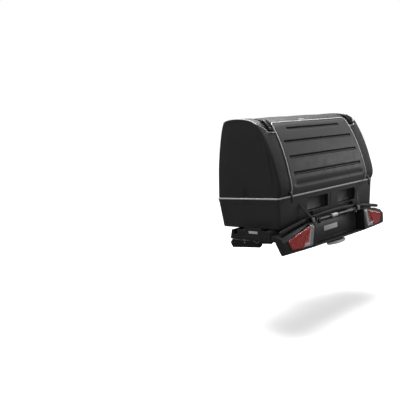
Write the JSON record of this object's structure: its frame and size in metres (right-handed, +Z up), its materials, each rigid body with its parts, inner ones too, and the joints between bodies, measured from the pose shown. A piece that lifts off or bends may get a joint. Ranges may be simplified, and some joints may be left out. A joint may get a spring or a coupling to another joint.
{
  "type": "tow ball cargo box carrier",
  "caption": "Tow-ball carrier: a cargo box with a hinged curved lid strapped to a tilting platform with tail lamps and a number-plate board.",
  "frame": {"origin": "centre of the tow ball held in the clamp", "axes": "+X to the right seen from behind the vehicle, +Y towards the vehicle, +Z up"},
  "size_m": [1.12, 0.9908, 0.9615],
  "materials": {
    "tub_plastic": "fine grained moulded plastic",
    "shell_fabric": "coated polyester weave over padding",
    "lid_skin": "moulded foam panel with a soft matte skin",
    "piping": "light grey sewn piping",
    "frame_steel": "satin black powder coat",
    "platform_plastic": "black moulded plastic",
    "lamp_red": "clear red acrylic",
    "lamp_clear": "clear fluted acrylic",
    "reflector": "metallised plastic",
    "tube_grey": "grey coated tube",
    "zinc": "zinc plated",
    "rubber": "black rubbery strap",
    "pedal_grey": "dark grey plastic",
    "buckle_plastic": "black plastic"
  },
  "bodies": {
    "coupling": {"coupling_cheek_left": "frame_steel", "coupling_cheek_right": "frame_steel", "ball_cup": "frame_steel", "tilt_pin": "zinc", "lever_pin": "zinc", "jaw_pin": "zinc", "catch_bar": "zinc"},
    "lever": {"clamp_lever": "frame_steel", "lever_grip": "buckle_plastic"},
    "lock": {"lock_barrel": "zinc"},
    "jaw": {"clamp_jaw": "zinc"},
    "platform": {"wing_left": "platform_plastic", "wing_right": "platform_plastic", "centre_deck": "platform_plastic", "rail_left": "frame_steel", "rail_right": "frame_steel", "cross_tube_front": "frame_steel", "cross_tube_rear": "frame_steel", "lamp_housing_left": "platform_plastic", "lamp_housing_right": "platform_plastic", "lamp_lens_red_left": "lamp_red", "lamp_lens_red_right": "lamp_red", "lamp_lens_clear_left": "lamp_clear", "lamp_lens_clear_right": "lamp_clear", "lamp_reflector_left": "reflector", "lamp_reflector_right": "reflector", "plate_board": "platform_plastic", "rear_sill": "platform_plastic", "arch_bar": "platform_plastic", "handle_tube": "tube_grey", "box_hook_left": "frame_steel", "box_hook_right": "frame_steel", "ladder_strap_left": "rubber", "ladder_strap_right": "rubber", "ratchet_base_left": "buckle_plastic", "ratchet_base_right": "buckle_plastic", "pedal_pin": "zinc", "pedal_spring": "zinc", "latch_pin": "zinc", "tub_shell": "tub_plastic", "side_panel_left": "shell_fabric", "side_panel_right": "shell_fabric", "front_panel": "shell_fabric", "roof_panel": "shell_fabric", "hoop_left": "tube_grey", "hoop_right": "tube_grey", "ridge_bar": "tube_grey", "rim_piping": "piping"},
    "pedal": {"foot_pedal": "pedal_grey"},
    "link": {"latch_rod": "zinc"},
    "pawl": {"latch_pawl": "zinc"},
    "lid": {"lid_panel": "lid_skin", "lid_piping": "piping"},
    "pull_left": {"zip_pull_left": "buckle_plastic"},
    "pull_right": {"zip_pull_right": "buckle_plastic"},
    "buckle_left": {"top_buckle_left": "buckle_plastic"},
    "buckle_right": {"top_buckle_right": "buckle_plastic"},
    "ratchet_left": {"ratchet_lever_left": "pedal_grey"},
    "ratchet_right": {"ratchet_lever_right": "pedal_grey"}
  },
  "joints": [
    {"name": "platform_tilt", "type": "hinge", "parent": "coupling", "child": "platform", "pos_m": [0, -0.24, 0.13], "axis": [1, 0, 0], "range_deg": [0, 38]},
    {"name": "clamp_lever_open", "type": "hinge", "parent": "coupling", "child": "lever", "pos_m": [0, -0.1, 0.025], "axis": [-1, 0, 0], "range_deg": [0, 60]},
    {"name": "clamp_jaw_open", "type": "hinge", "parent": "coupling", "child": "jaw", "pos_m": [0, -0.0465, 0.023], "axis": [-1, 0, 0], "range_deg": [0, 18]},
    {"name": "lock_turn", "type": "hinge", "parent": "lever", "child": "lock", "pos_m": [0.03, -0.23647, 0.16147], "axis": [0, 0.7071, 0.7071], "range_deg": [0, 90]},
    {"name": "pedal_press", "type": "hinge", "parent": "platform", "child": "pedal", "pos_m": [0, -0.8, 0.089], "axis": [1, 0, 0], "range_deg": [0, 15], "stiffness_Nm_per_rad": 20, "springref_deg": -14.32},
    {"name": "latch_rod_pull", "type": "slide", "parent": "platform", "child": "link", "axis": [0, -1, 0], "range_m": [0, 0.0042]},
    {"name": "latch_release", "type": "hinge", "parent": "platform", "child": "pawl", "pos_m": [0, -0.33, 0.089], "axis": [1, 0, 0], "range_deg": [0, 18.5]},
    {"name": "lid_open", "type": "hinge", "parent": "platform", "child": "lid", "pos_m": [0, -0.74, 0.8909], "axis": [-1, 0, 0], "range_deg": [0, 100]},
    {"name": "zip_pull_left_swing", "type": "hinge", "parent": "platform", "child": "pull_left", "pos_m": [-0.424, -0.8925, 0.46], "axis": [-1, 0, 0], "range_deg": [0, 80]},
    {"name": "top_buckle_left_open", "type": "hinge", "parent": "platform", "child": "buckle_left", "pos_m": [-0.4315, -0.72465, 0.90821], "axis": [-1, 0, 0], "range_deg": [0, 75]},
    {"name": "ratchet_left_open", "type": "hinge", "parent": "platform", "child": "ratchet_left", "pos_m": [-0.252, -0.901, 0.28202], "axis": [-1, 0, 0], "range_deg": [0, 100]},
    {"name": "zip_pull_right_swing", "type": "hinge", "parent": "platform", "child": "pull_right", "pos_m": [0.424, -0.8925, 0.46], "axis": [-1, 0, 0], "range_deg": [0, 80]},
    {"name": "top_buckle_right_open", "type": "hinge", "parent": "platform", "child": "buckle_right", "pos_m": [0.4315, -0.72465, 0.90821], "axis": [-1, 0, 0], "range_deg": [0, 75]},
    {"name": "ratchet_right_open", "type": "hinge", "parent": "platform", "child": "ratchet_right", "pos_m": [0.252, -0.901, 0.28202], "axis": [-1, 0, 0], "range_deg": [0, 100]}
  ],
  "couplings": [
    {"joint": "clamp_jaw_open", "follows": "clamp_lever_open", "ratio": 0.3},
    {"joint": "latch_rod_pull", "follows": "pedal_press", "m_per_rad": 0.016},
    {"joint": "latch_release", "follows": "pedal_press", "ratio": 1.2}
  ]
}
